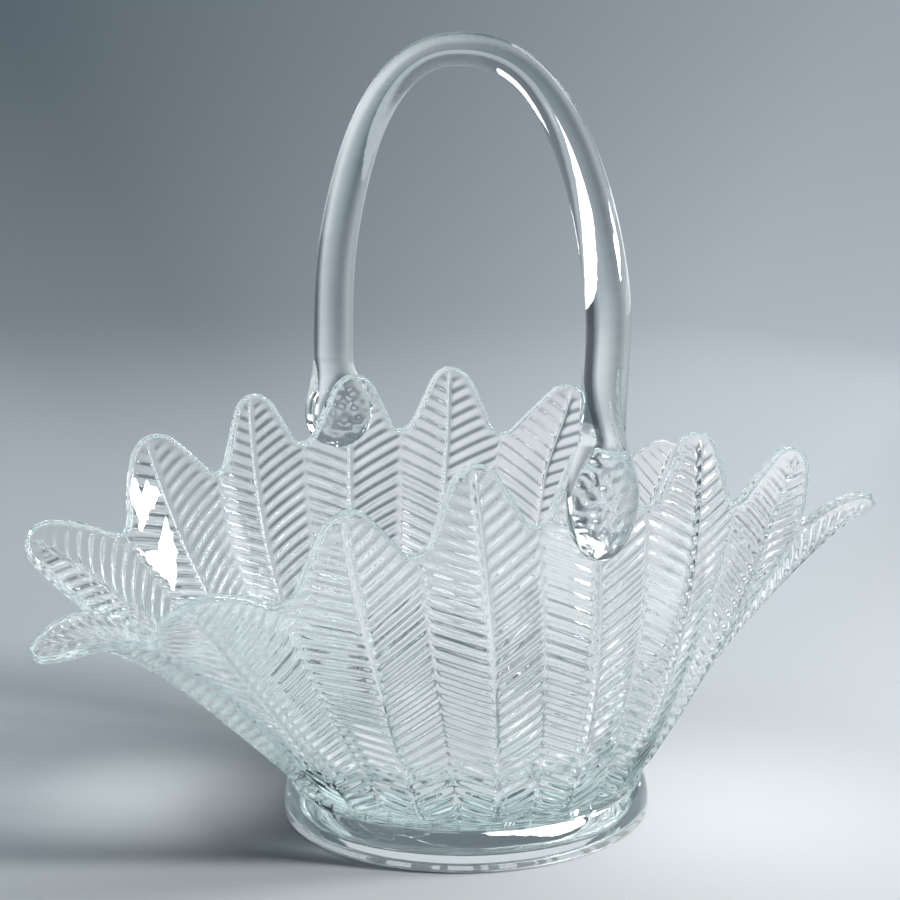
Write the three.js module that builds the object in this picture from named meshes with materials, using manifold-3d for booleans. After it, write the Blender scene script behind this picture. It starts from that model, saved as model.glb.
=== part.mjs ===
// Pressed glass basket: a bowl whose wall is sixteen upright fronds, a collar foot and an arched handle whose
// two pads sit on the middle fronds of the long sides. Millimetres, +Z up, the centre of the foot on the
// table at the origin, the bowl's length along X and the handle across it in the YZ plane.
import * as THREE from 'three';
import { mergeVertices } from 'three/addons/utils/BufferGeometryUtils.js';
import Module from 'manifold-3d';

const wasm = await Module();
wasm.setup();

// Gap kept between two pieces of glass that are fused on the real basket.
const seam = 0.3;

// Rim, over the tips of the fronds.
const rimLength = 278;
const rimWidth = 131;
const sideTipHeight = 125.5;
const endTipHeight = 74.6;

// Belly line, towards which the wall leaves the foot before it turns up or out to the rim.
const bellyLength = 224;
const bellyWidth = 152;
const sideBellyHeight = 61;
const endBellyHeight = 84;

// Bowl glass.
const bowlBaseDiameter = 107;
const wallThickness = 3.4;
const floorThickness = 6;
const floorCornerRise = 12;
const floorCornerWidth = 6;
const frondCrown = 1.6;
const notchDepth = 20;
const notchRoundness = 1.6;

// Collar foot, with a shallow domed hollow under it.
const footDiameter = 112;
const footHeight = 14;
const footRimHeight = 4.2;
const footEdgeRound = 2;
const footBore = 88;
const footHollow = 9;

// Handle: a round rod, thinner at the crown of the arch than at its legs, which stand outside the side tips.
const legDiameter = 12.8;
const crownDiameter = 9.8;
const legStandOff = 11.5;
const legBow = 2;
const legBowRise = 40;
const springRise = 5.5;
const archTopHeight = 231.4;
const archLean = 4;
const archSquareness = 2.3;

// Pads that the legs end in, pressed on the wall below the side tips.
const padWidth = 23.6;
const padThickness = 12.8;
const padStandOff = 2.9;
const padCentreDrop = 13;
const padBottomDrop = 31.7;

// How far up the foot's flare its bulge is pulled, as a share of the flare's height.
const flareBulge = 0.6;

// Counts of facets.
const stepsPerFrond = 8;
const wallSteps = 10;
const lineSteps = 60;
const rodSteps = 44;
const rodSides = 14;
const padSides = 20;
const footSides = 72;
const hollowSteps = 6;

// The five stations of one quarter of the bowl, from the middle of a long side to the end. Each gives a place on
// a ring as shares of its half length and half width, and of the way from its side height to its end height.
const tipStations = [
  { along: 0, across: 1, shift: 0 },
  { along: 0.273, across: 0.98, shift: 0.02 },
  { along: 0.543, across: 0.92, shift: 0.21 },
  { along: 0.849, across: 0.77, shift: 0.67 },
  { along: 1, across: 0, shift: 1 },
];
const bellyStations = [
  { along: 0, across: 1, shift: 0 },
  { along: 0.305, across: 0.95, shift: 0.13 },
  { along: 0.59, across: 0.735, shift: 0.39 },
  { along: 0.875, across: 0.475, shift: 0.78 },
  { along: 1, across: 0, shift: 1 },
];
const quarter = tipStations.length - 1;
const frondCount = 4 * quarter;
const bowlBottom = footHeight + seam;
const floorTop = bowlBottom + floorThickness;
const archSpan = rimWidth + 2 * legStandOff;
const archSpringHeight = sideTipHeight + springRise;
const padCentreHeight = sideTipHeight - padCentreDrop;
const padBottomHeight = sideTipHeight - padBottomDrop;

function glass() {
  return new THREE.MeshStandardMaterial({
    color: 0xdce8e8,
    roughness: 0.04,
    metalness: 0,
    transparent: true,
    opacity: 0.35,
  });
}

// Closed curve through one point per frond, mirrored from a quarter, starting at the front and turning to +X.
function ring(stations, length, width, sideHeight, endHeight) {
  const points = [];
  for (let frond = 0; frond < frondCount; frond += 1) {
    const fold = frond % (2 * quarter);
    const station = stations[fold <= quarter ? fold : 2 * quarter - fold];
    const right = frond <= 2 * quarter ? 1 : -1;
    const back = frond > quarter && frond < 3 * quarter ? 1 : -1;
    points.push(new THREE.Vector3(
      right * station.along * length / 2,
      back * station.across * width / 2,
      sideHeight + station.shift * (endHeight - sideHeight),
    ));
  }
  return new THREE.CatmullRomCurve3(points, true, 'catmullrom', 0.5);
}

const tipRing = ring(tipStations, rimLength, rimWidth, sideTipHeight, endTipHeight);
const bellyRing = ring(bellyStations, bellyLength, bellyWidth, sideBellyHeight, endBellyHeight);

// The wall's line from the foot to the tip ring, at a place counted in fronds from the front one.
const wallLines = new Map();

function wallLine(place) {
  if (!wallLines.has(place)) {
    const turn = (place / frondCount + 1) % 1;
    const angle = 2 * Math.PI * turn - Math.PI / 2;
    const base = new THREE.Vector3(Math.cos(angle), Math.sin(angle), 0).setLength(bowlBaseDiameter / 2);
    base.z = bowlBottom;
    const line = new THREE.QuadraticBezierCurve3(base, bellyRing.getPoint(turn), tipRing.getPoint(turn));
    line.arcLengthDivisions = lineSteps;
    wallLines.set(place, line);
  }
  return wallLines.get(place);
}

// How far across a frond a place lies: 0 on its midrib, 1 on the line shared with its neighbour.
function acrossFrond(place) {
  return 2 * Math.abs(place - Math.round(place));
}

// How far the rim lies below the tip ring: nothing on a midrib, the notch's full depth between two fronds.
function notch(place) {
  return notchDepth * (1 - Math.cos(Math.PI * acrossFrond(place) ** notchRoundness)) / 2;
}

// Outward direction of the wall at a share of its line.
function wallNormal(place, share) {
  const step = 0.05;
  const around = wallLine(place + step).getPointAt(share).sub(wallLine(place - step).getPointAt(share));
  const up = wallLine(place).getTangentAt(share);
  return around.cross(up).normalize();
}

// A point of the wall, set in or out by a distance. Each frond is crowned outwards, less so towards the foot.
function wallPoint(place, share, offset) {
  const crown = frondCrown * Math.cos(Math.PI * acrossFrond(place) / 2) * Math.min(1, 3 * share);
  const normal = wallNormal(place, share);
  return wallLine(place).getPointAt(share).addScaledVector(normal, crown + offset);
}

// How far the wall's outer face stands from the middle plane at a height, on the midrib of the front frond.
function frontReach(height) {
  let low = 0;
  let high = 1;
  for (let halving = 0; halving < 24; halving += 1) {
    const middle = (low + high) / 2;
    if (wallLine(0).getPointAt(middle).z < height) {
      low = middle;
    } else {
      high = middle;
    }
  }
  return -wallPoint(0, low, 0).y;
}

// A closed surface through rings of points, with one point closing each end.
function skin(rings, start, end) {
  const around = rings[0].length;
  const points = [start, ...rings.flat(), end];
  const last = 1 + (rings.length - 1) * around;
  const index = [];
  for (let side = 0; side < around; side += 1) {
    const next = (side + 1) % around;
    index.push(0, 1 + next, 1 + side);
    for (let low = 1; low < last; low += around) {
      const high = low + around;
      index.push(low + side, low + next, high + next);
      index.push(low + side, high + next, high + side);
    }
    index.push(last + side, last + next, points.length - 1);
  }
  const geometry = new THREE.BufferGeometry().setFromPoints(points);
  geometry.setIndex(index);
  return geometry;
}

function bowlPlaces() {
  const count = frondCount * stepsPerFrond;
  return Array.from({ length: count }, (_, step) => step / stepsPerFrond);
}

function rimShare(place) {
  return 1 - notch(place) / wallLine(place).getLength();
}

// Outer wall up to the notched rim, a rounded edge, the inner wall down to a soft corner, and a flat floor.
function bowlGeometry() {
  const places = bowlPlaces();
  const rims = places.map(rimShare);
  const rings = [];
  for (let row = 0; row <= wallSteps; row += 1) {
    rings.push(places.map((place, k) => wallPoint(place, rims[k] * row / wallSteps, 0)));
  }
  const edgeRise = wallThickness / 3;
  rings.push(places.map((place, k) => {
    const middle = wallPoint(place, rims[k], -wallThickness / 2);
    return middle.addScaledVector(wallLine(place).getTangentAt(rims[k]), edgeRise);
  }));
  const innerSteps = wallSteps - 2;
  for (let row = innerSteps; row >= 0; row -= 1) {
    rings.push(places.map((place, k) => {
      const corner = (floorThickness + floorCornerRise) / wallLine(place).getLength();
      const share = corner + (rims[k] - corner) * row / innerSteps;
      return wallPoint(place, share, -wallThickness);
    }));
  }
  const floorRadius = bowlBaseDiameter / 2 - wallThickness - floorCornerWidth;
  rings.push(places.map((place) => {
    const foot = wallLine(place).v0;
    return new THREE.Vector3(foot.x, foot.y, 0).setLength(floorRadius).setZ(floorTop);
  }));
  return skin(rings, new THREE.Vector3(0, 0, bowlBottom), new THREE.Vector3(0, 0, floorTop));
}

// The space inside the wall's outer face, grown by the seam and left without notches.
function wallSpace() {
  const places = bowlPlaces();
  const rings = [];
  for (let row = 0; row <= wallSteps; row += 1) {
    rings.push(places.map((place) => wallPoint(place, row / wallSteps, seam)));
  }
  return skin(rings, new THREE.Vector3(0, 0, bowlBottom), new THREE.Vector3(0, 0, sideTipHeight));
}

// Profile of the foot from beside the top of its hollow, out over the flat underside and the rounded edge, and
// up the bulging flare to the waist under the bowl.
function footProfile() {
  const outer = footDiameter / 2;
  const bore = footBore / 2;
  const hollow = Array.from({ length: hollowSteps }, (_, step) => {
    const angle = Math.PI / 2 * (step + 1) / hollowSteps;
    return new THREE.Vector2(bore * Math.sin(angle), footHollow * Math.max(0, Math.cos(angle)));
  });
  const outline = new THREE.Path();
  outline.moveTo(outer - footEdgeRound, 0);
  outline.quadraticCurveTo(outer, 0, outer, footEdgeRound);
  outline.lineTo(outer, footRimHeight);
  const pull = footRimHeight + flareBulge * (footHeight - footRimHeight);
  outline.quadraticCurveTo(outer, pull, bowlBaseDiameter / 2, footHeight);
  return [...hollow, ...outline.getPoints(5)];
}

function footGeometry() {
  const rings = footProfile().map((point) => Array.from({ length: footSides }, (_, k) => {
    const angle = 2 * Math.PI * k / footSides;
    return new THREE.Vector3(point.x * Math.cos(angle), point.x * Math.sin(angle), point.y);
  }));
  return skin(rings, new THREE.Vector3(0, 0, footHollow), new THREE.Vector3(0, 0, footHeight));
}

// Smooth step from 0 to 1.
function ease(share) {
  return share * share * (3 - 2 * share);
}

// Half of a superellipse standing on the springing line, from the front leg over the crown to the rear leg.
// The legs bow in towards the pads, and the hand-drawn rod leans a little to the front as it rises.
function archPoint(share) {
  const angle = Math.PI * share;
  const rise = Math.max(0, Math.sin(angle)) ** (2 / archSquareness);
  const height = rise * (archTopHeight - archSpringHeight);
  const bow = legBow * (1 - ease(Math.min(1, height / legBowRise)));
  const reach = archSpan / 2 * Math.abs(Math.cos(angle)) ** (2 / archSquareness) - bow;
  const y = -Math.sign(Math.cos(angle)) * reach - archLean * rise * rise;
  return new THREE.Vector3(0, y, archSpringHeight + height);
}

// The rod thins from the legs to the crown with its height on the arch.
function rodRadius(height) {
  const climb = Math.max(0, (height - archSpringHeight) / (archTopHeight - archSpringHeight));
  return (legDiameter + (crownDiameter - legDiameter) * climb ** 2) / 2;
}

function archGeometry() {
  const path = new THREE.CatmullRomCurve3(Array.from({ length: 4 * rodSteps + 1 }, (_, step) => (
    archPoint(step / (4 * rodSteps))
  )));
  const side = new THREE.Vector3(1, 0, 0);
  const rings = [];
  for (let step = 0; step <= rodSteps; step += 1) {
    const share = step / rodSteps;
    const centre = path.getPointAt(share);
    const level = step === 0 || step === rodSteps;
    const along = level ? new THREE.Vector3(0, 0, step === 0 ? 1 : -1) : path.getTangentAt(share);
    const out = along.clone().cross(side);
    const radius = rodRadius(centre.z);
    rings.push(Array.from({ length: rodSides }, (_, k) => {
      const angle = 2 * Math.PI * k / rodSides;
      return centre.clone()
        .addScaledVector(side, radius * Math.cos(angle))
        .addScaledVector(out, radius * Math.sin(angle));
    }));
  }
  return skin(rings, path.getPointAt(0), path.getPointAt(1));
}

// Level rings of the front pad: round below its middle, drawn in to the leg's section above it.
function padBlank() {
  const top = archSpringHeight - seam;
  const padReach = frontReach(padCentreHeight) + padStandOff;
  const legReach = archSpan / 2 - legBow;
  const rings = [];
  const add = (height, width, thickness, centre) => {
    rings.push(Array.from({ length: padSides }, (_, k) => {
      const angle = 2 * Math.PI * k / padSides;
      const out = centre - thickness / 2 * Math.sin(angle);
      return new THREE.Vector3(width / 2 * Math.cos(angle), -out, height);
    }));
  };
  const roundSteps = 5;
  for (let step = 1; step <= roundSteps; step += 1) {
    const angle = Math.PI / 2 * step / roundSteps;
    const height = padCentreHeight - (padCentreHeight - padBottomHeight) * Math.cos(angle);
    add(height, padWidth * Math.sin(angle), padThickness * Math.sin(angle), padReach);
  }
  const neckSteps = 6;
  for (let step = 1; step <= neckSteps; step += 1) {
    const share = step / neckSteps;
    const blend = ease(share);
    const height = padCentreHeight + (top - padCentreHeight) * share;
    const width = padWidth + (legDiameter - padWidth) * blend;
    const thickness = padThickness + (legDiameter - padThickness) * blend;
    add(height, width, thickness, padReach + (legReach - padReach) * blend);
  }
  const start = new THREE.Vector3(0, -padReach, padBottomHeight);
  return skin(rings, start, new THREE.Vector3(0, -legReach, top));
}

function solid(geometry) {
  const bare = new THREE.BufferGeometry();
  bare.setAttribute('position', geometry.getAttribute('position'));
  bare.setIndex(geometry.getIndex());
  const merged = mergeVertices(bare, 1e-4);
  return new wasm.Manifold(new wasm.Mesh({
    numProp: 3,
    vertProperties: new Float32Array(merged.getAttribute('position').array),
    triVerts: new Uint32Array(merged.getIndex().array),
  }));
}

function geometryOf(body) {
  const mesh = body.getMesh();
  const geometry = new THREE.BufferGeometry();
  geometry.setAttribute('position', new THREE.BufferAttribute(new Float32Array(mesh.vertProperties), 3));
  geometry.setIndex(new THREE.BufferAttribute(new Uint32Array(mesh.triVerts), 1));
  return geometry;
}

// The pad is pressed on the wall: its blank loses what would reach inside the wall's outer face.
function padGeometry() {
  return geometryOf(solid(padBlank()).subtract(solid(wallSpace())));
}

function piece(name, geometry) {
  const mesh = new THREE.Mesh(geometry, glass());
  mesh.name = name;
  return mesh;
}

const basket = new THREE.Group();
basket.name = 'glass_basket';

const handle = new THREE.Group();
const frontPad = piece('handle_pad_front', padGeometry());
const rearPad = piece('handle_pad_rear', frontPad.geometry.clone());
rearPad.rotation.z = Math.PI;
handle.add(piece('handle_arch', archGeometry()), frontPad, rearPad);

basket.add(piece('bowl', bowlGeometry()), piece('foot_ring', footGeometry()), handle);

export default basket;
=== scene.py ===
import math

import bpy
import numpy as np
from mathutils import Matrix, Vector


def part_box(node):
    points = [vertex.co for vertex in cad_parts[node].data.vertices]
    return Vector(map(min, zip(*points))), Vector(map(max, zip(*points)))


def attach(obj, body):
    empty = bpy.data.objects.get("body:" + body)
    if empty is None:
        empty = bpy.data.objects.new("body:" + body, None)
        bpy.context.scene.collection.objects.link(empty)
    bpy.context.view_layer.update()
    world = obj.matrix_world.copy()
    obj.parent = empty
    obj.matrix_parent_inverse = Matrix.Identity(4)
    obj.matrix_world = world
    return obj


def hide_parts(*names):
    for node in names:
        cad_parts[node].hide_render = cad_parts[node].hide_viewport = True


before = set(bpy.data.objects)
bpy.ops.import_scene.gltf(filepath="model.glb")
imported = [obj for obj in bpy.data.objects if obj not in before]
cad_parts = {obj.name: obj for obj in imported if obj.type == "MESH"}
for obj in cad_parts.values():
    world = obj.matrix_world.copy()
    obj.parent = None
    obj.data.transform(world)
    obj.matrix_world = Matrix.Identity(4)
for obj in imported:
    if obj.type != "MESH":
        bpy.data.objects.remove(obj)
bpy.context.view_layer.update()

# Clear pressed-glass basket: fronded bowl on a collar foot, arched rod handle. Metres, +Z up, foot on z = 0.
scene = bpy.context.scene
print("frame loaded:", ", ".join(sorted(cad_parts)))


# camera

photoCamera = dict(
    azimuth=-31.7, elevation=12.05, roll=-0.58,      # degrees
    aside=-0.0039, height=0.1101, distance=0.732,    # from the origin, along the view's own axes
    focalPixels=2364, framePixels=900, sensor=36.0,
    clipStart=0.01, clipEnd=50,
)


def viewAxes(azimuth, elevation):
    # right, up and back of a view that looks at the origin from an azimuth and a height angle
    a, e = math.radians(azimuth), math.radians(elevation)
    back = Vector((math.sin(a) * math.cos(e), -math.cos(a) * math.cos(e), math.sin(e)))
    right = Vector((math.cos(a), math.sin(a), 0))
    return right, back.cross(right), back


def addCamera(v):
    # camera at its place along the view's axes, with its side and top turned about the line of sight by the roll
    right, up, back = viewAxes(v["azimuth"], v["elevation"])
    data = bpy.data.cameras.new("photoCamera")
    data.sensor_width = v["sensor"]
    data.lens = v["sensor"] * v["focalPixels"] / v["framePixels"]
    data.clip_start, data.clip_end = v["clipStart"], v["clipEnd"]
    camera = bpy.data.objects.new("photoCamera", data)
    tilt = math.radians(v["roll"])
    side = right * math.cos(tilt) + up * math.sin(tilt)
    top = up * math.cos(tilt) - right * math.sin(tilt)
    camera.matrix_world = Matrix((side, top, back)).transposed().to_4x4()
    camera.location = right * v["aside"] + up * v["height"] + back * v["distance"]
    scene.collection.objects.link(camera)
    scene.camera = camera


addCamera(photoCamera)
print("camera set")


# mesh helpers

def gridMesh(name, grid, ids):
    # Skin over a grid of rows by columns, the columns going round anticlockwise. ids lets several grid points share
    # one vertex, so a pole or a row that runs out leaves no empty triangle behind.
    after = np.roll(ids, -1, axis=1)
    a, b = ids[:-1].ravel(), after[:-1].ravel()
    c, d = after[1:].ravel(), ids[1:].ravel()
    faces = np.concatenate([np.stack([a, b, c], 1), np.stack([a, c, d], 1)])
    whole = (faces[:, 0] != faces[:, 1]) & (faces[:, 1] != faces[:, 2]) & (faces[:, 2] != faces[:, 0])
    used, faces = np.unique(faces[whole], return_inverse=True)
    faces = faces.reshape(-1, 3)
    points = grid.reshape(-1, 3)[used]
    mesh = bpy.data.meshes.new(name)
    mesh.vertices.add(len(points))
    mesh.vertices.foreach_set("co", points.astype(np.float32).ravel())
    mesh.loops.add(faces.size)
    mesh.loops.foreach_set("vertex_index", faces.astype(np.int32).ravel())
    mesh.polygons.add(len(faces))
    mesh.polygons.foreach_set("loop_start", np.arange(0, faces.size, 3, dtype=np.int32))
    mesh.update(calc_edges=True)
    mesh.shade_smooth()
    piece = bpy.data.objects.new(name, mesh)
    scene.collection.objects.link(piece)
    print(name, len(faces), "triangles")
    return piece


def polesShared(rows, columns):
    # vertex numbers of a grid whose first and last rows are each one point
    ids = np.arange(rows * columns).reshape(rows, columns)
    ids[0], ids[-1] = ids[0, 0], ids[-1, 0]
    return ids


def everyNth(columns, step):
    # column numbers brought down to multiples of a step, so that the columns between share those vertices
    return np.arange(columns) // step * step


def smooth(low, high, value):
    # 0 below low, 1 above high, eased between them
    share = np.clip((value - low) / (high - low), 0, 1)
    return share * share * (3 - 2 * share)


def unit(vectors):
    # vectors divided by their lengths
    return vectors / np.linalg.norm(vectors, axis=-1, keepdims=True)


def mixed(start, end, share):
    # start plus a share of the way to end
    return start + (end - start) * share


def quadratic(start, pull, end, t):
    # quadratic curve from start to end that leaves both towards pull
    return start * (1 - t) ** 2 + pull * 2 * t * (1 - t) + end * t ** 2


# pressed bowl and foot

bowl = dict(
    rimLength=0.278, rimWidth=0.131, sideTip=0.1255, endTip=0.0746,
    bellyLength=0.224, bellyWidth=0.152, sideBelly=0.061, endBelly=0.084,
    waist=0.0535,                                    # radius where the wall leaves the foot
    wall=0.0034, edge=0.0022, thinning=0.032,        # wall, its thickness at the rim and how far down it thins
    floor=0.006, floorCorner=0.012, cornerPull=0.009,
    crown=0.0016, crownClimb=3, innerPower=2,        # a frond's bulge, whole at 1/3 of the wall; cosine's power inside
    notch=0.020, tipRound=0.44, notchRound=0.28,     # rounds as shares of half a frond's width
    # each frond's tip and belly pull, from mid side to end: shares of half the length, of half the width, and of the
    # way from the side's height to the end's
    tips=[(0, 1, 0), (0.273, 0.98, 0.02), (0.543, 0.92, 0.21), (0.849, 0.77, 0.67), (1, 0, 1)],
    bellies=[(0, 1, 0), (0.305, 0.95, 0.13), (0.59, 0.735, 0.39), (0.875, 0.475, 0.78), (1, 0, 1)],
    # hand-bent spots: place in fronds, width in fronds, share of the wall where it starts, then the move
    bent=[(2, 0.4, 0.75, 0.0015, -0.0010, 0), (2.66, 0.26, 0.6, 0, 0, 0.0032), (4, 0.5, 0.7, 0, 0, -0.004),
          (6, 0.4, 0.7, 0.0047, -0.0029, 0), (7, 0.35, 0.75, -0.0012, 0.0007, 0), (9, 0.4, 0.75, 0, 0, -0.0012),
          (9.5, 0.3, 0.6, 0.0030, -0.0018, 0), (10.6, 0.4, 0.6, 0, 0, 0.0035), (11, 0.4, 0.75, -0.0010, 0.0006, 0),
          (12, 0.5, 0.75, 0, 0, -0.0025), (12.3, 0.25, 0.8, 0, 0, -0.002), (13.2, 0.6, 0.6, 0, 0, 0.004),
          (13, 0.3, 0.75, 0, 0, -0.001), (13.5, 0.25, 0.6, 0, 0, 0.003)],
    lineSteps=64, besideStep=0.05,                   # pieces of the wall's line; fronds aside, for the wall's direction
    innerSteps=22, innerSpread=1.5, innerFine=4,     # inner rows, closer to the rim; the first ones have all columns
    edgeSteps=7, cornerSteps=7, floorRings=(0.6, 0.25, 0),          # rings as shares of the flat floor's radius
)
ribs = dict(
    lowPitch=0.0034, highPitch=0.0044, slope=28,     # pitch at the foot and at the tip; degrees up from square
    height=0.00105, tipHeight=0.00045,               # from valley to crest, at the foot and at the tip
    sunk=0.0003, valley=0.45,                        # how far a valley lies below the wall's face, and its rounding
    midrib=0.0009, midribWidth=0.0008, seamLine=0.0002, seamWidth=0.0005,
    # plain border below the rim at a tip and beside it, the shares across between which it changes, and how many
    # borders below the rim ribs ease in
    tipBorder=0.0045, sideBorder=0.0026, borderTurn=(0.15, 0.55), borderFade=(0.35, 1.25),
    footBorder=0.006,
    # distances from the midrib, from the frond's edge and from the rim over which ribs and lines ease in
    midribClear=(0.0004, 0.0014), edgeClear=(0.0002, 0.0010), lineFade=(0.001, 0.006),
    steps=6, below=2,                                # rows over one rib; ribs begun below the foot
    fineReach=0.034,                                 # how far below the tips the columns are doubled
    rimEase=0.0005, rimEnd=4,                        # how near the rim rows turn along it; eases past it where they end
    footSnap=0.0003,                                 # nearest row to the foot
)
foot = dict(
    bore=0.044, hollow=0.009, lip=0.0006, band=0.0042, bulge=0.6, edgeRound=0.002, neck=0.0125, neckOut=0.0003,
    hollowSteps=14, edgeSteps=6, flareSteps=10,
)
# places across half a frond, closer beside the midrib and the edge; every second one only near the rim
acrossSteps = np.array([0, 0.012, 0.025, 0.042, 0.06, 0.085, 0.11, 0.155, 0.2, 0.26, 0.32, 0.38, 0.44, 0.5,
                        0.56, 0.62, 0.68, 0.74, 0.8, 0.855, 0.9, 0.93, 0.955, 0.978, 1])
frondColumns = 2 * (len(acrossSteps) - 1)
frondCount = 4 * (len(bowl["tips"]) - 1)
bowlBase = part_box("bowl")[0].z
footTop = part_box("foot_ring")[1]


def ringPoints(stations, length, width, sideHeight, endHeight):
    # one point per frond: a quarter's stations mirrored to the other three, the front first, turning to +X
    quarter = len(stations) - 1
    frond = np.arange(frondCount)
    fold = frond % (2 * quarter)
    along, across, shift = np.array(stations)[np.minimum(fold, 2 * quarter - fold)].T
    right = np.where(frond <= 2 * quarter, 1, -1)
    rear = np.where((frond > quarter) & (frond < 3 * quarter), 1, -1)
    return np.stack([right * along * length / 2, rear * across * width / 2,
                     sideHeight + shift * (endHeight - sideHeight)], 1)


tipRing = ringPoints(bowl["tips"], bowl["rimLength"], bowl["rimWidth"], bowl["sideTip"], bowl["endTip"])
bellyRing = ringPoints(bowl["bellies"], bowl["bellyLength"], bowl["bellyWidth"], bowl["sideBelly"], bowl["endBelly"])


def closedCurve(points, turn):
    # cubic through a closed ring of points, its slope at each point half the step between the two neighbours
    scaled = np.mod(turn, 1) * len(points)
    cell = np.floor(scaled).astype(int)
    s = (scaled - cell)[..., None]
    before, start, end, after = (points[(cell + k) % len(points)] for k in (-1, 0, 1, 2))
    out, into = (end - before) / 2, (after - start) / 2
    return start + s * (out + s * (3 * (end - start) - 2 * out - into + s * (2 * (start - end) + out + into)))


def footAngle(place):
    # direction of a place round the foot, in radians from +X, with the front frond at -Y
    return 2 * np.pi * place / frondCount - np.pi / 2


def wallLine(place):
    # base, belly pull and tip of the wall's line at places counted in fronds from the front one
    turn, angle = place / frondCount, footAngle(place)
    base = np.stack([bowl["waist"] * np.cos(angle), bowl["waist"] * np.sin(angle), np.full_like(angle, bowlBase)], -1)
    return base, closedCurve(bellyRing, turn), closedCurve(tipRing, turn)


def wallLength(place):
    # lengths up the wall's quadratic line from the foot to each of its steps, summed over short straight pieces
    base, pull, tip = (p[..., None, :] for p in wallLine(place))
    line = quadratic(base, pull, tip, np.linspace(0, 1, bowl["lineSteps"] + 1)[:, None])
    pieces = np.linalg.norm(np.diff(line, axis=-2), axis=-1)
    return np.concatenate([np.zeros(pieces.shape[:-1] + (1,)), np.cumsum(pieces, -1)], -1)


def wallAt(place, share):
    # points and upward directions of the quadratic wall line at shares of its arc length; rows are shares
    base, pull, tip = wallLine(place)
    length = wallLength(place)
    length = length / length[..., -1:]
    cell = np.clip((length[None] <= share[..., None]).sum(-1) - 1, 0, bowl["lineSteps"] - 1)
    column = np.arange(len(place))[None]
    low, high = length[column, cell], length[column, cell + 1]
    t = ((cell + (share - low) / (high - low)) / bowl["lineSteps"])[..., None]
    return quadratic(base, pull, tip, t), unit((pull - base) * (1 - t) + (tip - pull) * t)


def acrossFrond(place):
    # 0 on a frond's midrib, 1 on the line that it shares with its neighbour
    return 2 * np.abs(place - np.round(place))


def wallFace(place, share, offset, power=1):
    # wall point moved out along the wall's normal by the frond's crown, a cosine to a power, and an offset
    point, up = wallAt(place, share)
    around = wallAt(place + bowl["besideStep"], share)[0] - wallAt(place - bowl["besideStep"], share)[0]
    normal = unit(np.cross(around, up))
    bulge = np.cos(np.pi / 2 * acrossFrond(place)) ** power
    crown = bowl["crown"] * bulge * np.minimum(1, bowl["crownClimb"] * share)
    return point + normal * (crown + offset)[..., None] + handBent(place, share)


def handBent(place, share):
    # sum of the bent spots' moves, each a bell round its place times an eased climb up the wall
    total = 0
    for spot, width, start, *move in bowl["bent"]:
        bell = np.exp(-((place - spot) / width) ** 2) * smooth(start, 1, share)
        total = total + bell[..., None] * np.array(move)
    return total


def frondHalfWidths(place):
    # half a frond's width at the foot and at the tip ring
    frond = np.round(place)
    atFoot = np.full_like(place, np.pi * bowl["waist"] / frondCount)
    chord = closedCurve(tipRing, (frond + 0.5) / frondCount) - closedCurve(tipRing, (frond - 0.5) / frondCount)
    return atFoot, np.linalg.norm(chord, axis=-1) / 2


def rimDrop(place):
    # depth of the rim below the tip ring: a round tip, a straight flank at the angle that joins both, a round notch;
    # also its slope, which is how far across over how far down from a round's middle
    across = acrossFrond(place)
    half = frondHalfWidths(place)[1]
    depth, tipRound, notchRound = bowl["notch"] / half, bowl["tipRound"], bowl["notchRound"]
    rounds = tipRound + notchRound
    lean = depth - rounds
    angle = np.arctan(lean) + np.arcsin(rounds / np.sqrt(1 + lean ** 2))
    start, end = tipRound * np.sin(angle), 1 - notchRound * np.sin(angle)
    tipDown = np.sqrt(np.maximum(tipRound ** 2 - np.minimum(across, start) ** 2, 0))
    notchUp = np.sqrt(np.maximum(notchRound ** 2 - (1 - np.maximum(across, end)) ** 2, 0))
    flank = tipRound * (1 - np.cos(angle)) + (across - start) * np.tan(angle)
    zones = [across < start, across > end]
    drop = np.select(zones, [tipRound - tipDown, depth - notchRound + notchUp], flank)
    slope = np.select(zones, [across / tipDown, (1 - across) / notchUp], np.tan(angle))
    return drop * half, slope


def bowlPlaces():
    # columns round the bowl, closer together beside each midrib and each line between fronds
    halfFrond = acrossSteps[:-1] / 2
    beyond = 1 - acrossSteps[:0:-1] / 2
    frond = np.arange(frondCount)[:, None]
    return (frond + np.concatenate([halfFrond, beyond])[None]).ravel()


def ribRelief(count, place, along, rimGap, share):
    # ribs sqrt(sin(pi count)^2 + valley^2), brought to 0..1, that die out beside the midrib, the frond's edge, the rim
    # and the foot, plus a thin raised line on the midrib and one between fronds
    across = acrossFrond(place)
    low, high = frondHalfWidths(place)
    half = mixed(low, high, share)
    fromMidrib, fromEdge = across * half, (1 - across) * half
    border = mixed(ribs["tipBorder"], ribs["sideBorder"], smooth(*ribs["borderTurn"], across))
    start, end = ribs["borderFade"]
    field = smooth(*ribs["midribClear"], fromMidrib) * smooth(*ribs["edgeClear"], fromEdge)
    field = field * smooth(border * start, border * end, rimGap) * smooth(0, ribs["footBorder"], along)
    soft = ribs["valley"]
    wave = (np.sqrt(np.sin(np.pi * count) ** 2 + soft ** 2) - soft) / (math.sqrt(1 + soft ** 2) - soft)
    relief = field * (mixed(ribs["height"], ribs["tipHeight"], share) * wave - ribs["sunk"])
    lines = ribs["midrib"] * np.exp(-(fromMidrib / ribs["midribWidth"]) ** 2)
    lines = lines + ribs["seamLine"] * np.exp(-(fromEdge / ribs["seamWidth"]) ** 2)
    return relief + lines * smooth(*ribs["lineFade"], rimGap) * smooth(0, ribs["footBorder"], along)


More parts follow.
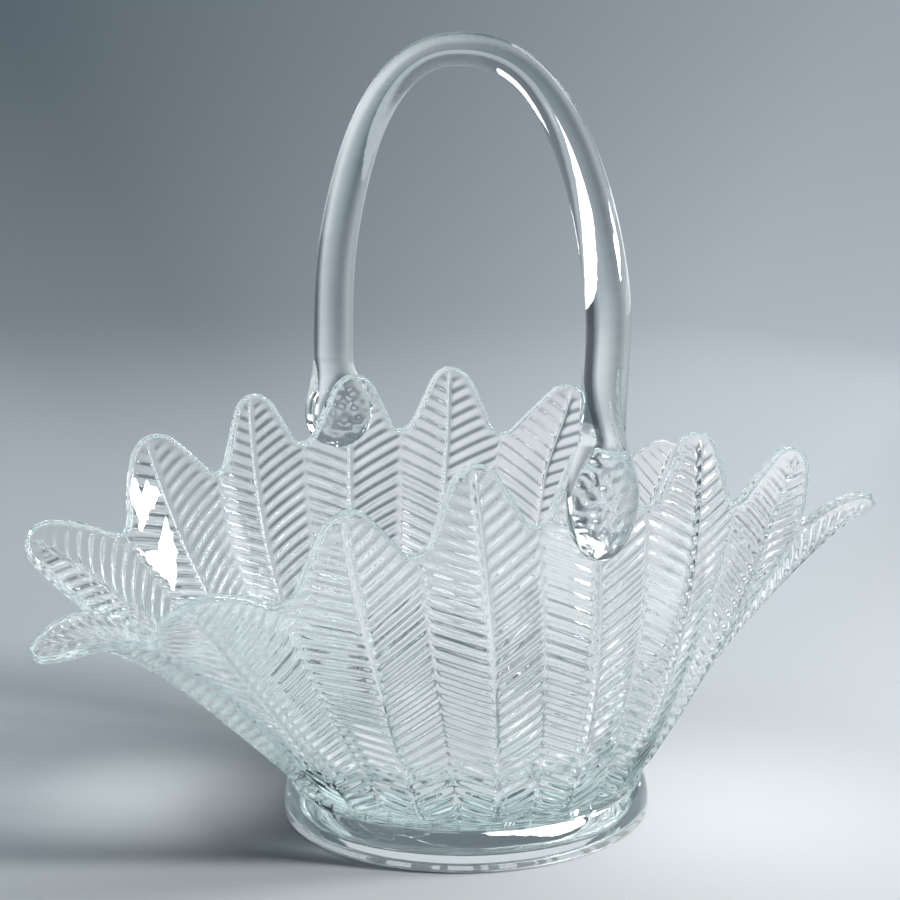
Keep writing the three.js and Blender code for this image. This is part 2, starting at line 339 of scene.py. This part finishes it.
def melted(points):
    # 1 under a pad, where hot glass was pressed flat on the ribs, 0 a little outside its outline, times the melt
    h = handle
    side = points[..., 0] - np.where(points[..., 1] > 0, h["rearDrift"], 0)
    level = points[..., 2] - h["padCentre"]
    bottom = np.where(points[..., 1] > 0, h["rearBottom"], h["frontBottom"])
    tall = np.where(level < 0, h["padCentre"] - bottom, h["meltRise"] * h["padWidth"])
    apart = np.hypot(side / (h["padWidth"] / 2), level / tall)
    return h["melt"] * (1 - smooth(*h["meltEdge"], apart))


def lumps(points):
    # crossed sine waves over the front and rear faces, summed and divided by the root of their number
    waves = [np.sin(a * points[..., 0] + b * points[..., 2] + c) for a, b, c in handle["lumpWaves"]]
    return handle["lump"] * sum(waves) / math.sqrt(len(waves))


def outerWall(place):
    # rows follow the ribs: distance up the wall = ribbed distance + slant x how far across the frond, cut off at the
    # foot and easing along the rim; the ribbed distance grows by a pitch that widens evenly up the wall
    length = wallLength(place)[..., -1]
    drop, flank = rimDrop(place)
    rim = length - drop
    growth = (ribs["highPitch"] - ribs["lowPitch"]) / length.mean()
    last = np.log(1 + growth * length.max() / ribs["lowPitch"]) / growth
    steps = ribs["steps"]
    count = np.arange(-ribs["below"] * steps, int(last * steps) + 2)[:, None] / steps
    ribbed = ribs["lowPitch"] * (np.exp(growth * count) - 1) / growth
    low, high = frondHalfWidths(place)
    slant = math.tan(math.radians(ribs["slope"])) * mixed(low, high, np.clip(ribbed / length, 0, 1))
    free = ribbed + slant * acrossFrond(place)
    ease = ribs["rimEase"] * np.sqrt(1 + flank ** 2)
    along = rim - ease * np.logaddexp(0, (rim - free) / ease)
    rows = np.arange(len(count))[:, None]
    first = (free <= ribs["footSnap"]).sum(0) - 1
    final = np.minimum((free < rim + ribs["rimEnd"] * ease).sum(0), len(count) - 1)
    along = np.where(rows >= final, rim, np.where(rows <= first, 0, along))
    share = along / length
    rimGap = (rim - along) / np.sqrt(1 + flank ** 2)
    plain = wallFace(place, share, 0 * share)
    flat = melted(plain)
    relief = ribRelief(count, place, along, rimGap, share) * (1 - flat) + lumps(plain) * flat
    points = wallFace(place, share, relief)
    tipLength = length[np.round(place).astype(int) % frondCount * frondColumns]
    fine = ribbed > tipLength - ribs["fineReach"]
    columns = np.where(fine, np.arange(len(place)), everyNth(len(place), 2))
    return points, np.clip(rows, first, final), columns, points[final, np.arange(len(place))], rim / length


def innerWall(place, rimShare):
    # smooth face inside the outer one by a wall that thins to the rim, down to where the floor's corner starts
    length = wallLength(place)[..., -1]
    start = (bowl["floor"] + bowl["floorCorner"]) / length
    down = np.linspace(0, 1, bowl["innerSteps"])[:, None] ** bowl["innerSpread"]
    share = mixed(rimShare, start, down)
    thick = mixed(bowl["edge"], bowl["wall"], smooth(0, bowl["thinning"], (rimShare - share) * length))
    return wallFace(place, share, -thick, bowl["innerPower"])


def rimEdge(outer, inner, steps):
    # half round from the outer to the inner edge, bulging away from the wall square to the rim's own direction
    through = (outer - inner) / 2
    run = np.roll(outer, -1, axis=0) - np.roll(outer, 1, axis=0)
    away = unit(np.cross(run, through)) * np.linalg.norm(through, axis=-1, keepdims=True)
    angle = np.pi * np.arange(1, steps)[:, None, None] / steps
    return (outer + inner) / 2 + through * np.cos(angle) + away * np.sin(angle)


def levelRings(place, radius, height):
    # level rings at the wall's own angles; radii and heights differ by row, and by column where they need to
    angle = footAngle(place)
    return np.stack([radius * np.cos(angle), radius * np.sin(angle), height + 0 * angle], -1)


def turned(place, profile):
    # rings of a turned profile of (radius, height) pairs
    radius, height = (np.array(profile)[:, k][:, None] for k in (0, 1))
    return levelRings(place, radius, height)


def arc(centre, radius, start, end, steps):
    # (radius, height) pairs on an arc, angles in degrees from outwards to up
    angle = np.radians(np.linspace(start, end, steps))
    return np.stack([centre[0] + radius * np.cos(angle), centre[1] + radius * np.sin(angle)], 1)


def footProfile():
    # from the domed hollow's middle out to the flat underside, round the edge and up the bulging flare to the neck
    f, radius = foot, footTop.x
    turn = np.linspace(0, np.pi / 2, f["hollowSteps"])
    hollow = np.stack([f["bore"] * np.sin(turn), f["lip"] + (f["hollow"] - f["lip"]) * np.cos(turn)], 1)
    rest = [(f["bore"] + f["lip"], 0)]
    rim = arc((radius - f["edgeRound"], f["edgeRound"]), f["edgeRound"], -90, 0, f["edgeSteps"])
    start, end = np.array((radius, f["band"])), np.array((bowl["waist"] + f["neckOut"], f["neck"]))
    pull = np.array((radius, mixed(f["band"], f["neck"], f["bulge"])))
    flare = quadratic(start, pull, end, np.linspace(0, 1, f["flareSteps"])[:, None])
    return np.concatenate([hollow, rest, rim, flare])


def bowlFloor(place, last):
    # rings from the inner wall's last row round the corner, on a quadratic curve, and flat on to the middle
    top = bowlBase + bowl["floor"]
    flatRadius = bowl["waist"] - bowl["wall"] - bowl["floorCorner"]
    t = np.linspace(0, 1, bowl["cornerSteps"])[1:, None]
    radius = quadratic(np.linalg.norm(last[:, :2], axis=-1), flatRadius + bowl["cornerPull"], flatRadius, t)
    height = last[:, 2] * (1 - t) ** 2 + top * (1 - (1 - t) ** 2)
    flat = turned(place, [(flatRadius * share, top) for share in bowl["floorRings"]])
    return np.concatenate([levelRings(place, radius, height), flat])


def makeBowl():
    # one closed grid: from under the foot up its flare and the outer wall, over the rim, down the inner wall and over
    # the floor to its middle; the foot has every second column, and the inside every fourth one below the rim
    place = bowlPlaces()
    columns = len(place)
    under = turned(place, footProfile())
    outside, wallRows, wallColumns, outerEdge, rimShare = outerWall(place)
    inside = innerWall(place, rimShare)
    edge = rimEdge(outerEdge, inside[0], bowl["edgeSteps"])
    grid = np.concatenate([under, outside, edge, inside, bowlFloor(place, inside[-1])])
    ids = polesShared(len(grid), columns)
    start, end = len(under), len(under) + len(outside)
    ids[start:end] = (wallRows + start) * columns + wallColumns
    ids[:start] = ids[:start, everyNth(columns, 2)]
    coarse = end + len(edge) + bowl["innerFine"]
    ids[coarse:] = ids[coarse:, everyNth(columns, 4)]
    return gridMesh("pressed_bowl", grid, ids)


# handle

handle = dict(
    legDiameter=0.0128, crownDiameter=0.0098, lean=0.004, squareness=2.3, archTop=0.2312,
    legReach=0.077, spring=0.131, frontBow=0.005, rearBow=0.0024, bowHeight=0.04,
    rearDrift=-0.003, driftEnd=0.2,                  # the rear leg stands a little to the left
    padWidth=0.0236, padThickness=0.0128, padReach=0.0718, padCentre=0.1125, frontBottom=0.0938, rearBottom=0.1015,
    seat=0.0002, soft=0.0004, neckEnd=0.150,         # gap behind a pad, its soft corner, height where the leg is round
    # how flat the ribs are pressed under a pad, pad widths above its middle where that ends, and shares of its outline
    # between which it dies out
    melt=0.9, meltRise=2, meltEdge=(0.85, 1.1),
    lump=0.0002,                                     # unevenness of the face under a pad, from waves across it
    lumpWaves=[(1500, 700, 0.3), (-900, 1700, 1.1), (1900, -600, 2.0), (500, 2100, 4.2), (-1400, -1100, 5.1)],
    lineSteps=4000, archSteps=150, neckSteps=26, roundSteps=16, sides=56, reachRounds=6,
)


def archLine(steps):
    # centres (y, z) and tangents at equal steps along half a superellipse, leaning to the front as it rises
    h = handle
    angle = np.pi * np.linspace(0, 1, h["lineSteps"] + 1)
    reach = -np.sign(np.cos(angle)) * np.abs(np.cos(angle)) ** (2 / h["squareness"])
    rise = np.maximum(np.sin(angle), 0) ** (2 / h["squareness"])
    y = reach * h["legReach"] - h["lean"] * rise ** 2
    z = h["spring"] + rise * (h["archTop"] - h["spring"])
    length = np.concatenate([[0], np.cumsum(np.hypot(np.diff(y), np.diff(z)))])
    at = np.linspace(0, length[-1], steps)
    y, z = np.interp(at, length, y), np.interp(at, length, z)
    bow = np.where(y < 0, -h["frontBow"], h["rearBow"])
    y = y - bow * (1 - smooth(h["spring"], h["spring"] + h["bowHeight"], z))
    dy, dz = np.gradient(y), np.gradient(z)
    dy[0] = dy[-1] = 0
    size = np.hypot(dy, dz)
    return y, z, dy / size, dz / size


def padRings(bottom, legReach):
    # heights, half widths, half thicknesses and reaches of the level rings of a pad: round under its middle, then
    # drawn in to the leg
    h = handle
    angle = np.linspace(0, np.pi / 2, h["roundSteps"])
    lowHeight = h["padCentre"] - (h["padCentre"] - bottom) * np.cos(angle)
    share = np.linspace(0, 1, h["neckSteps"])[1:-1]
    blend = smooth(0, 1, share)
    height = np.concatenate([lowHeight, mixed(h["padCentre"], h["spring"], share)])
    width = np.concatenate([np.sin(angle) * h["padWidth"], mixed(h["padWidth"], h["legDiameter"], blend)]) / 2
    thick = np.concatenate([np.sin(angle) * h["padThickness"], mixed(h["padThickness"], h["legDiameter"], blend)]) / 2
    reach = np.concatenate([np.full(len(angle), h["padReach"]), mixed(h["padReach"], legReach, blend)])
    return height, width, thick, reach


def wallReach(x, z, middle):
    # how far out the wall's face stands at points near a middle frond, found by stepping place and share until the
    # wall's own x and z meet them
    stretch = frondHalfWidths(np.array([0.0]))[1][0] * 2
    facing = 1 if middle == 0 else -1
    place = middle + facing * x.ravel() / stretch
    tall = bowl["sideTip"] - bowlBase
    share = np.clip((z.ravel() - bowlBase) / tall, 0, 1)
    for _ in range(handle["reachRounds"]):
        at = wallFace(place, share[None], 0 * share[None])[0]
        place = place + facing * (x.ravel() - at[:, 0]) / stretch
        share = np.clip(share + (z.ravel() - at[:, 2]) / tall, 0, 1)
    return np.abs(at[:, 1]).reshape(x.shape)


def laidOn(x, out, level, middle):
    # reach of handle points, pushed out with a soft corner (log of summed exponentials) to where they lie on the face
    # of a middle frond, over its flattened ribs and lumps; the push dies out up the leg
    h = handle
    crest = (ribs["height"] - ribs["sunk"]) * (1 - h["melt"]) + 2 * h["lump"]
    face = wallReach(x, level, middle) + crest + h["seat"]
    push = h["soft"] * np.logaddexp(0, (face - out) / h["soft"])
    return out + push * (1 - smooth(bowl["sideTip"], h["neckEnd"], level))


def padGrid(bottom, bow, middle, drift, turn):
    # level ovals of a pad, from its lowest point up to the leg, laid on the wall
    height, width, thick, reach = padRings(bottom, handle["legReach"] - bow)
    x = width[:, None] * np.cos(turn) + drift
    out = reach[:, None] - thick[:, None] * np.sin(turn)
    level = np.tile(height[:, None], (1, len(turn)))
    return np.stack([x, -laidOn(x, out, level, middle), level], -1)


def makeHandle():
    # ring of a width across X and a thickness in the handle's plane, carried from the front pad over the arch to the
    # rear pad
    h = handle
    turn = 2 * np.pi * np.arange(h["sides"]) / h["sides"]
    y, z, dy, dz = archLine(h["archSteps"])
    climb = np.clip((z - h["spring"]) / (h["archTop"] - h["spring"]), 0, 1)
    rod = mixed(h["legDiameter"], h["crownDiameter"], climb ** 2)[:, None] / 2
    drift = h["rearDrift"] * np.where(y > 0, 1 - smooth(h["padCentre"], h["driftEnd"], z), 0)[:, None]
    padDrift = h["rearDrift"] * (1 - smooth(h["padCentre"], h["driftEnd"], h["spring"]))
    arch = np.stack([rod * np.cos(turn) + drift, y[:, None] + rod * dz[:, None] * np.sin(turn),
                     z[:, None] - rod * dy[:, None] * np.sin(turn)], -1)
    for side, middle in ((-1, 0), (1, frondCount // 2)):
        leg = (z < h["neckEnd"]) & (side * y > 0)
        x, reach, level = arch[leg, :, 0], side * arch[leg, :, 1], arch[leg, :, 2]
        arch[leg, :, 1] = side * laidOn(x, reach, level, middle)
    front = padGrid(h["frontBottom"], h["frontBow"], 0, 0, turn)
    rear = (padGrid(h["rearBottom"], h["rearBow"], frondCount // 2, padDrift, turn) * [1, -1, 1])[::-1]
    grid = np.concatenate([front, arch, rear])
    return gridMesh("handle", grid, polesShared(len(grid), h["sides"]))


# shader helpers

def setInputs(tree, node, inputs):
    # a node's outputs, once each named input is set to a fixed value or joined to another node's output
    for socket, value in inputs.items():
        if isinstance(value, bpy.types.NodeSocket):
            tree.links.new(value, node.inputs[socket])
        else:
            node.inputs[socket].default_value = value
    return node.outputs


def shaderNode(tree, kind, inputs, **settings):
    # outputs of a new node with these inputs and settings
    node = tree.nodes.new("ShaderNode" + kind)
    for name, value in settings.items():
        setattr(node, name, value)
    return setInputs(tree, node, inputs)


def sums(tree, operation, *values):
    # one step of arithmetic on fixed numbers and other nodes' outputs
    return shaderNode(tree, "Math", dict(enumerate(values)), operation=operation)["Value"]


def measured(tree, operation, vector, other=(0, 0, 0)):
    # one number from a vector: its length, its distance from another one or its dot product with it
    return shaderNode(tree, "VectorMath", {0: vector, 1: other}, operation=operation)["Value"]


def eased(tree, value, low, high):
    # 0 at low, 1 at high, eased between them
    ends = {"Value": value, "From Min": low, "From Max": high}
    return shaderNode(tree, "MapRange", ends, interpolation_type="SMOOTHSTEP")["Result"]


def colourMix(tree, share, start, end):
    # blend of two colours, each a fixed colour or another node's output
    return shaderNode(tree, "Mix", {"Factor": share, "A": start, "B": end}, data_type="RGBA")["Result"]


def shaderMix(tree, share, start, end):
    # blend of two shaders
    return shaderNode(tree, "MixShader", {0: share, 1: start, 2: end})["Shader"]


def shaderSum(tree, first, second):
    # the light of two shaders together
    return shaderNode(tree, "AddShader", {0: first, 1: second})["Shader"]


def emission(tree, colour, strength=1):
    # plain light of a colour
    return shaderNode(tree, "Emission", {"Color": colour, "Strength": strength})["Emission"]


# glass

glass = dict(
    ior=1.5, tint=(0.98, 0.995, 0.995, 1), absorb=(0.5, 0.85, 0.82, 1), density=5.0,
    waveScale=70, waveDetail=3, waveStrength=0.06, waveDepth=0.002,
    haze=(0.003, 0.027),                             # roughness in the hollows and on the crests of the waves
    # what shadow rays keep, square to a face and grazing it, and the slants between which that changes
    shadowTint=(0.94, 0.95, 0.955, 1), shadowEdge=(0.04, 0.05, 0.06, 1), shadowStart=0.32, shadowEnd=0.66,
    slantBlend=0.5,
    turns=7,                                         # bounces after which light caught in the wall goes straight on
)


def clearGlass(name, g):
    # glass with faint waves and haze from one noise, tinted by depth; shadow rays go straight through it, dimmed where
    # they graze a face
    material = bpy.data.materials.new(name)
    material.use_nodes = True
    tree = material.node_tree
    tree.nodes.clear()
    where = shaderNode(tree, "TexCoord", {})["Object"]
    noise = {"Vector": where, "Scale": g["waveScale"], "Detail": g["waveDetail"]}
    wave = shaderNode(tree, "TexNoise", noise)["Fac"]
    relief = {"Height": wave, "Strength": g["waveStrength"], "Distance": g["waveDepth"]}
    normal = shaderNode(tree, "Bump", relief)["Normal"]
    low, high = g["haze"]
    haze = shaderNode(tree, "MapRange", {"Value": wave, "To Min": low, "To Max": high})["Result"]
    clear = {"Base Color": g["tint"], "Transmission Weight": 1, "IOR": g["ior"], "Normal": normal, "Roughness": haze}
    body = shaderNode(tree, "BsdfPrincipled", clear)["BSDF"]
    slant = shaderNode(tree, "LayerWeight", {"Blend": g["slantBlend"]})["Facing"]
    grazing = eased(tree, slant, g["shadowStart"], g["shadowEnd"])
    kept = colourMix(tree, grazing, g["shadowTint"], g["shadowEdge"])
    shade = shaderNode(tree, "BsdfTransparent", {"Color": kept})["BSDF"]
    path = shaderNode(tree, "LightPath", {})
    surface = shaderMix(tree, path["Is Shadow Ray"], body, shade)
    deep = sums(tree, "GREATER_THAN", path["Ray Depth"], g["turns"])
    straight = shaderNode(tree, "BsdfTransparent", {})["BSDF"]
    depth = shaderNode(tree, "VolumeAbsorption", {"Color": g["absorb"], "Density": g["density"]})["Volume"]
    shaderNode(tree, "OutputMaterial", {"Surface": shaderMix(tree, deep, surface, straight), "Volume": depth})
    return material


basketGlass = clearGlass("clear_glass", glass)
pressedBowl = makeBowl()
basketHandle = makeHandle()
for piece, nodes in ((pressedBowl, ("bowl", "foot_ring")),
                     (basketHandle, ("handle_arch", "handle_pad_front", "handle_pad_rear"))):
    piece.data.materials.append(basketGlass)
    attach(piece, "root")
    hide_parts(*nodes)
print("glass made")


# floor, world and lamps

studio = dict(
    floorRadius=30.0, floorStart=0.02, floorRings=24, floorSides=96,
    paperRoughness=0.9, paperShine=0.1, paperEnd=0.25, roomStart=1.1,   # paper gives way to the room between these
    # painted light and shade on the paper: its colour behind the bowl, darker, and before it, lighter, along a line
    # turned from the camera to its right
    paperBehind=(0.60, 0.66, 0.69, 1), paperBefore=(0.85, 0.88, 0.90, 1), paperTurn=45, paperReach=0.3,
    nearness=0.73, nearPower=1.5, nearGlow=(0.34, 0.35, 0.36, 1),
    # painted spots of light where the glass would throw light on the paper: place to the right and towards the camera,
    # reach, strength
    paintedCaustics=[(-0.095, -0.008, 0.06, 0.24), (0.068, 0.008, 0.11, 0.25)], paintedCausticColour=(0.96, 1, 1, 1),
    # the paper as glass shows it, painted light in place of the light that the glass would bend into its shadow: left
    # and right of the view
    throughLeft=(0.44, 0.495, 0.52, 1), throughRight=(0.88, 0.90, 0.92, 1), throughReach=0.25,
    # painted net of glints in that painted light: its strengths on a line and between lines, and where it comes in and
    # dies out
    netScale=28, netWidth=0.22, netBright=1.55, netDark=0.6, netStart=(0.045, 0.0675), netEnd=(0.16, 0.32),
    # colours of the far floor, in turns from behind the camera by its left to ahead and its right; the last number is
    # how much of a dark side begins nearer, which glass shows and the camera sees as sidePaper
    room=[(0, 0.30, 0.32, 0.34, 0), (0.25, 0.40, 0.43, 0.46, 0), (0.40, 0.32, 0.36, 0.39, 0),
          (0.45, 0.10, 0.13, 0.152, 0), (0.47, 0.095, 0.125, 0.15, 0), (0.5, 0.20, 0.235, 0.27, 0),
          (0.53, 0.32, 0.365, 0.41, 0), (0.56, 0.34, 0.385, 0.43, 0), (0.605, 0.05, 0.06, 0.085, 1),
          (0.64, 0.03, 0.04, 0.06, 1), (0.70, 0.035, 0.045, 0.055, 1), (0.74, 0.30, 0.32, 0.34, 0.25),
          (0.86, 0.30, 0.32, 0.34, 0.25), (0.92, 0.30, 0.32, 0.34, 0)],
    sidePaper=(0.34, 0.36, 0.38, 1), sidePull=0.9,
    wall=(0.43, 0.48, 0.52, 1), wallNear=12.0, wallFar=25.0,        # where the far floor turns to the wall's colour
    ceiling=(0.145, 0.172, 0.192, 1), ceilingStart=0.07, ceilingEnd=0.18,
    # lamps: degrees to the right of the camera, degrees up, distance, size and power; all face the aim height
    lamps=dict(key=(76, 18, 2.4, (0.28, 0.44), 60), strip=(130, 3, 0.75, (1.3, 0.13), 0.8),
               fill=(-75, 35, 1.4, (0.2, 0.2), 0.4), wide=(94, 20, 2.4, (0.6, 0.48), 35),
               top=(155, 38, 1.3, (0.7, 0.45), 1.6)),
    aimHeight=0.1,
)
toRight, _, toCamera = viewAxes(photoCamera["azimuth"], 0)


def roomColours(tree, direction, s):
    # colour and dark-side share looked up by the turn of a level direction round the room, from the camera's back
    aside, ahead = (measured(tree, "DOT_PRODUCT", direction, axis) for axis in (toRight, -toCamera))
    ends = {"Value": sums(tree, "ARCTAN2", aside, ahead), "From Min": -math.pi, "From Max": math.pi}
    ramp = tree.nodes.new("ShaderNodeValToRGB")
    stops = ramp.color_ramp.elements
    while len(stops) < len(s["room"]):
        stops.new(1)
    for stop, (place, *colour) in zip(stops, s["room"]):
        stop.position = place
        stop.color = colour
    found = setInputs(tree, ramp, {"Fac": shaderNode(tree, "MapRange", ends)["Result"]})
    return found["Color"], found["Alpha"]


def roomLight(tree, away, colour, side, seen, s):
    # the room's colours as light of their own, the wall's far off, and a glow near the bowl that falls off as
    # (nearness / (nearness + distance)) ^ nearPower and that dark sides don't have
    sideSeen = sums(tree, "MULTIPLY", side, seen)
    lit = sums(tree, "SUBTRACT", 1, sums(tree, "SUBTRACT", side, sideSeen))
    colour = colourMix(tree, sideSeen, colour, s["sidePaper"])
    colour = colourMix(tree, eased(tree, away, s["wallNear"], s["wallFar"]), colour, s["wall"])
    level = sums(tree, "DIVIDE", s["nearness"], sums(tree, "ADD", away, s["nearness"]))
    level = sums(tree, "MULTIPLY", sums(tree, "POWER", level, s["nearPower"]), lit)
    return shaderSum(tree, emission(tree, colour), emission(tree, s["nearGlow"], level))


def paintedLightThroughGlass(tree, where, away, s):
    # painted light and shade from left to right, times a painted net of glints along the edges of cells, which fades
    # under the foot and far off
    aside = measured(tree, "DOT_PRODUCT", where, toRight)
    shade = colourMix(tree, eased(tree, aside, -s["throughReach"], s["throughReach"]), s["throughLeft"],
                      s["throughRight"])
    cells = {"Vector": where, "Scale": s["netScale"]}
    fromLine = shaderNode(tree, "TexVoronoi", cells, feature="DISTANCE_TO_EDGE")["Distance"]
    ends = {"Value": fromLine, "From Max": s["netWidth"], "To Min": s["netBright"], "To Max": s["netDark"]}
    paintedGlint = shaderNode(tree, "MapRange", ends, interpolation_type="SMOOTHSTEP")["Result"]
    level = sums(tree, "SUBTRACT", paintedGlint, 1)
    level = sums(tree, "MULTIPLY", level, sums(tree, "SUBTRACT", 1, eased(tree, away, *s["netEnd"])))
    level = sums(tree, "MULTIPLY", level, eased(tree, away, *s["netStart"]))
    return emission(tree, shade, sums(tree, "ADD", level, 1))


def plainPaper(tree, where, s):
    # matt paper with painted light and shade along a level line, plus soft round spots of painted light that stand in
    # for what the glass throws
    angle = math.radians(s["paperTurn"])
    line = toCamera * math.cos(angle) + toRight * math.sin(angle)
    # painted light and shade: the paper lighter before the bowl and darker behind it
    before = eased(tree, measured(tree, "DOT_PRODUCT", where, line), -s["paperReach"], s["paperReach"])
    matt = {"Base Color": colourMix(tree, before, s["paperBehind"], s["paperBefore"]),
            "Roughness": s["paperRoughness"], "Specular IOR Level": s["paperShine"]}
    body = setInputs(tree, tree.nodes["Principled BSDF"], matt)["BSDF"]
    # painted light: round glowing spots on the paper, standing in for light that the glass throws
    paintedLightSpots = 0
    for aside, nearer, reach, strength in s["paintedCaustics"]:
        gap = measured(tree, "DISTANCE", where, toRight * aside + toCamera * nearer)
        paintedLightSpots = sums(tree, "MULTIPLY_ADD", eased(tree, gap, reach, 0), strength, paintedLightSpots)
    return shaderSum(tree, body, emission(tree, s["paintedCausticColour"], paintedLightSpots))


def makeFloor(s):
    # rings of a flat disc, closer together near the middle; paper near the bowl, the room's own colours far off
    inwards = np.concatenate([[0], np.geomspace(s["floorStart"], s["floorRadius"], s["floorRings"])])[::-1]
    radius = inwards[:, None]
    turn = 2 * np.pi * np.arange(s["floorSides"]) / s["floorSides"]
    grid = np.stack([radius * np.cos(turn), radius * np.sin(turn), 0 * radius + 0 * turn], -1)
    ids = np.arange(radius.size * turn.size).reshape(-1, turn.size)
    ids[-1] = ids[-1, 0]
    floor = gridMesh("floor", grid, ids)
    material = bpy.data.materials.new("paper")
    material.use_nodes = True
    tree = material.node_tree
    where = shaderNode(tree, "TexCoord", {})["Object"]
    away = measured(tree, "LENGTH", where)
    path = shaderNode(tree, "LightPath", {})
    colour, side = roomColours(tree, where, s)
    room = roomLight(tree, away, colour, side, path["Is Camera Ray"], s)
    # transmission rays see the painted light and glints in place of the lit paper
    paper = shaderMix(tree, path["Is Transmission Ray"], plainPaper(tree, where, s),
                      paintedLightThroughGlass(tree, where, away, s))
    reach = sums(tree, "MULTIPLY", away, sums(tree, "MULTIPLY_ADD", side, s["sidePull"], 1))
    fade = eased(tree, reach, s["paperEnd"], s["roomStart"])
    setInputs(tree, tree.nodes["Material Output"], {"Surface": shaderMix(tree, fade, paper, room)})
    floor.data.materials.append(material)


def addLamp(name, side, height, distance, size, power):
    # soft box at an angle to the right of the camera and a height angle, facing the bowl
    a, e = math.radians(side), math.radians(height)
    direction = (toCamera * math.cos(a) + toRight * math.sin(a)) * math.cos(e) + Vector((0, 0, math.sin(e)))
    data = bpy.data.lights.new(name, "AREA")
    data.shape = "RECTANGLE"
    data.size, data.size_y = size
    data.energy = power
    lamp = bpy.data.objects.new(name, data)
    lamp.location = direction * distance + Vector((0, 0, studio["aimHeight"]))
    lamp.rotation_euler = direction.to_track_quat("Z", "Y").to_euler()
    lamp.visible_camera = False
    scene.collection.objects.link(lamp)


def setWorld(s):
    # the wall's colour at the horizon, easing with height to the ceiling's
    world = bpy.data.worlds.new("studio")
    world.use_nodes = True
    tree = world.node_tree
    up = measured(tree, "DOT_PRODUCT", shaderNode(tree, "TexCoord", {})["Generated"], (0, 0, 1))
    rise = eased(tree, up, s["ceilingStart"], s["ceilingEnd"])
    setInputs(tree, tree.nodes["Background"], {"Color": colourMix(tree, rise, s["wall"], s["ceiling"])})
    scene.world = world


makeFloor(studio)
for name, numbers in studio["lamps"].items():
    addLamp(name + "_softbox", *numbers)
setWorld(studio)
scene.view_settings.view_transform = "Standard"
scene.cycles.max_bounces = 24
scene.cycles.transmission_bounces = 24
scene.cycles.glossy_bounces = 8
scene.cycles.transparent_max_bounces = 24
scene.cycles.caustics_reflective = False
scene.cycles.caustics_refractive = False
print("studio set")
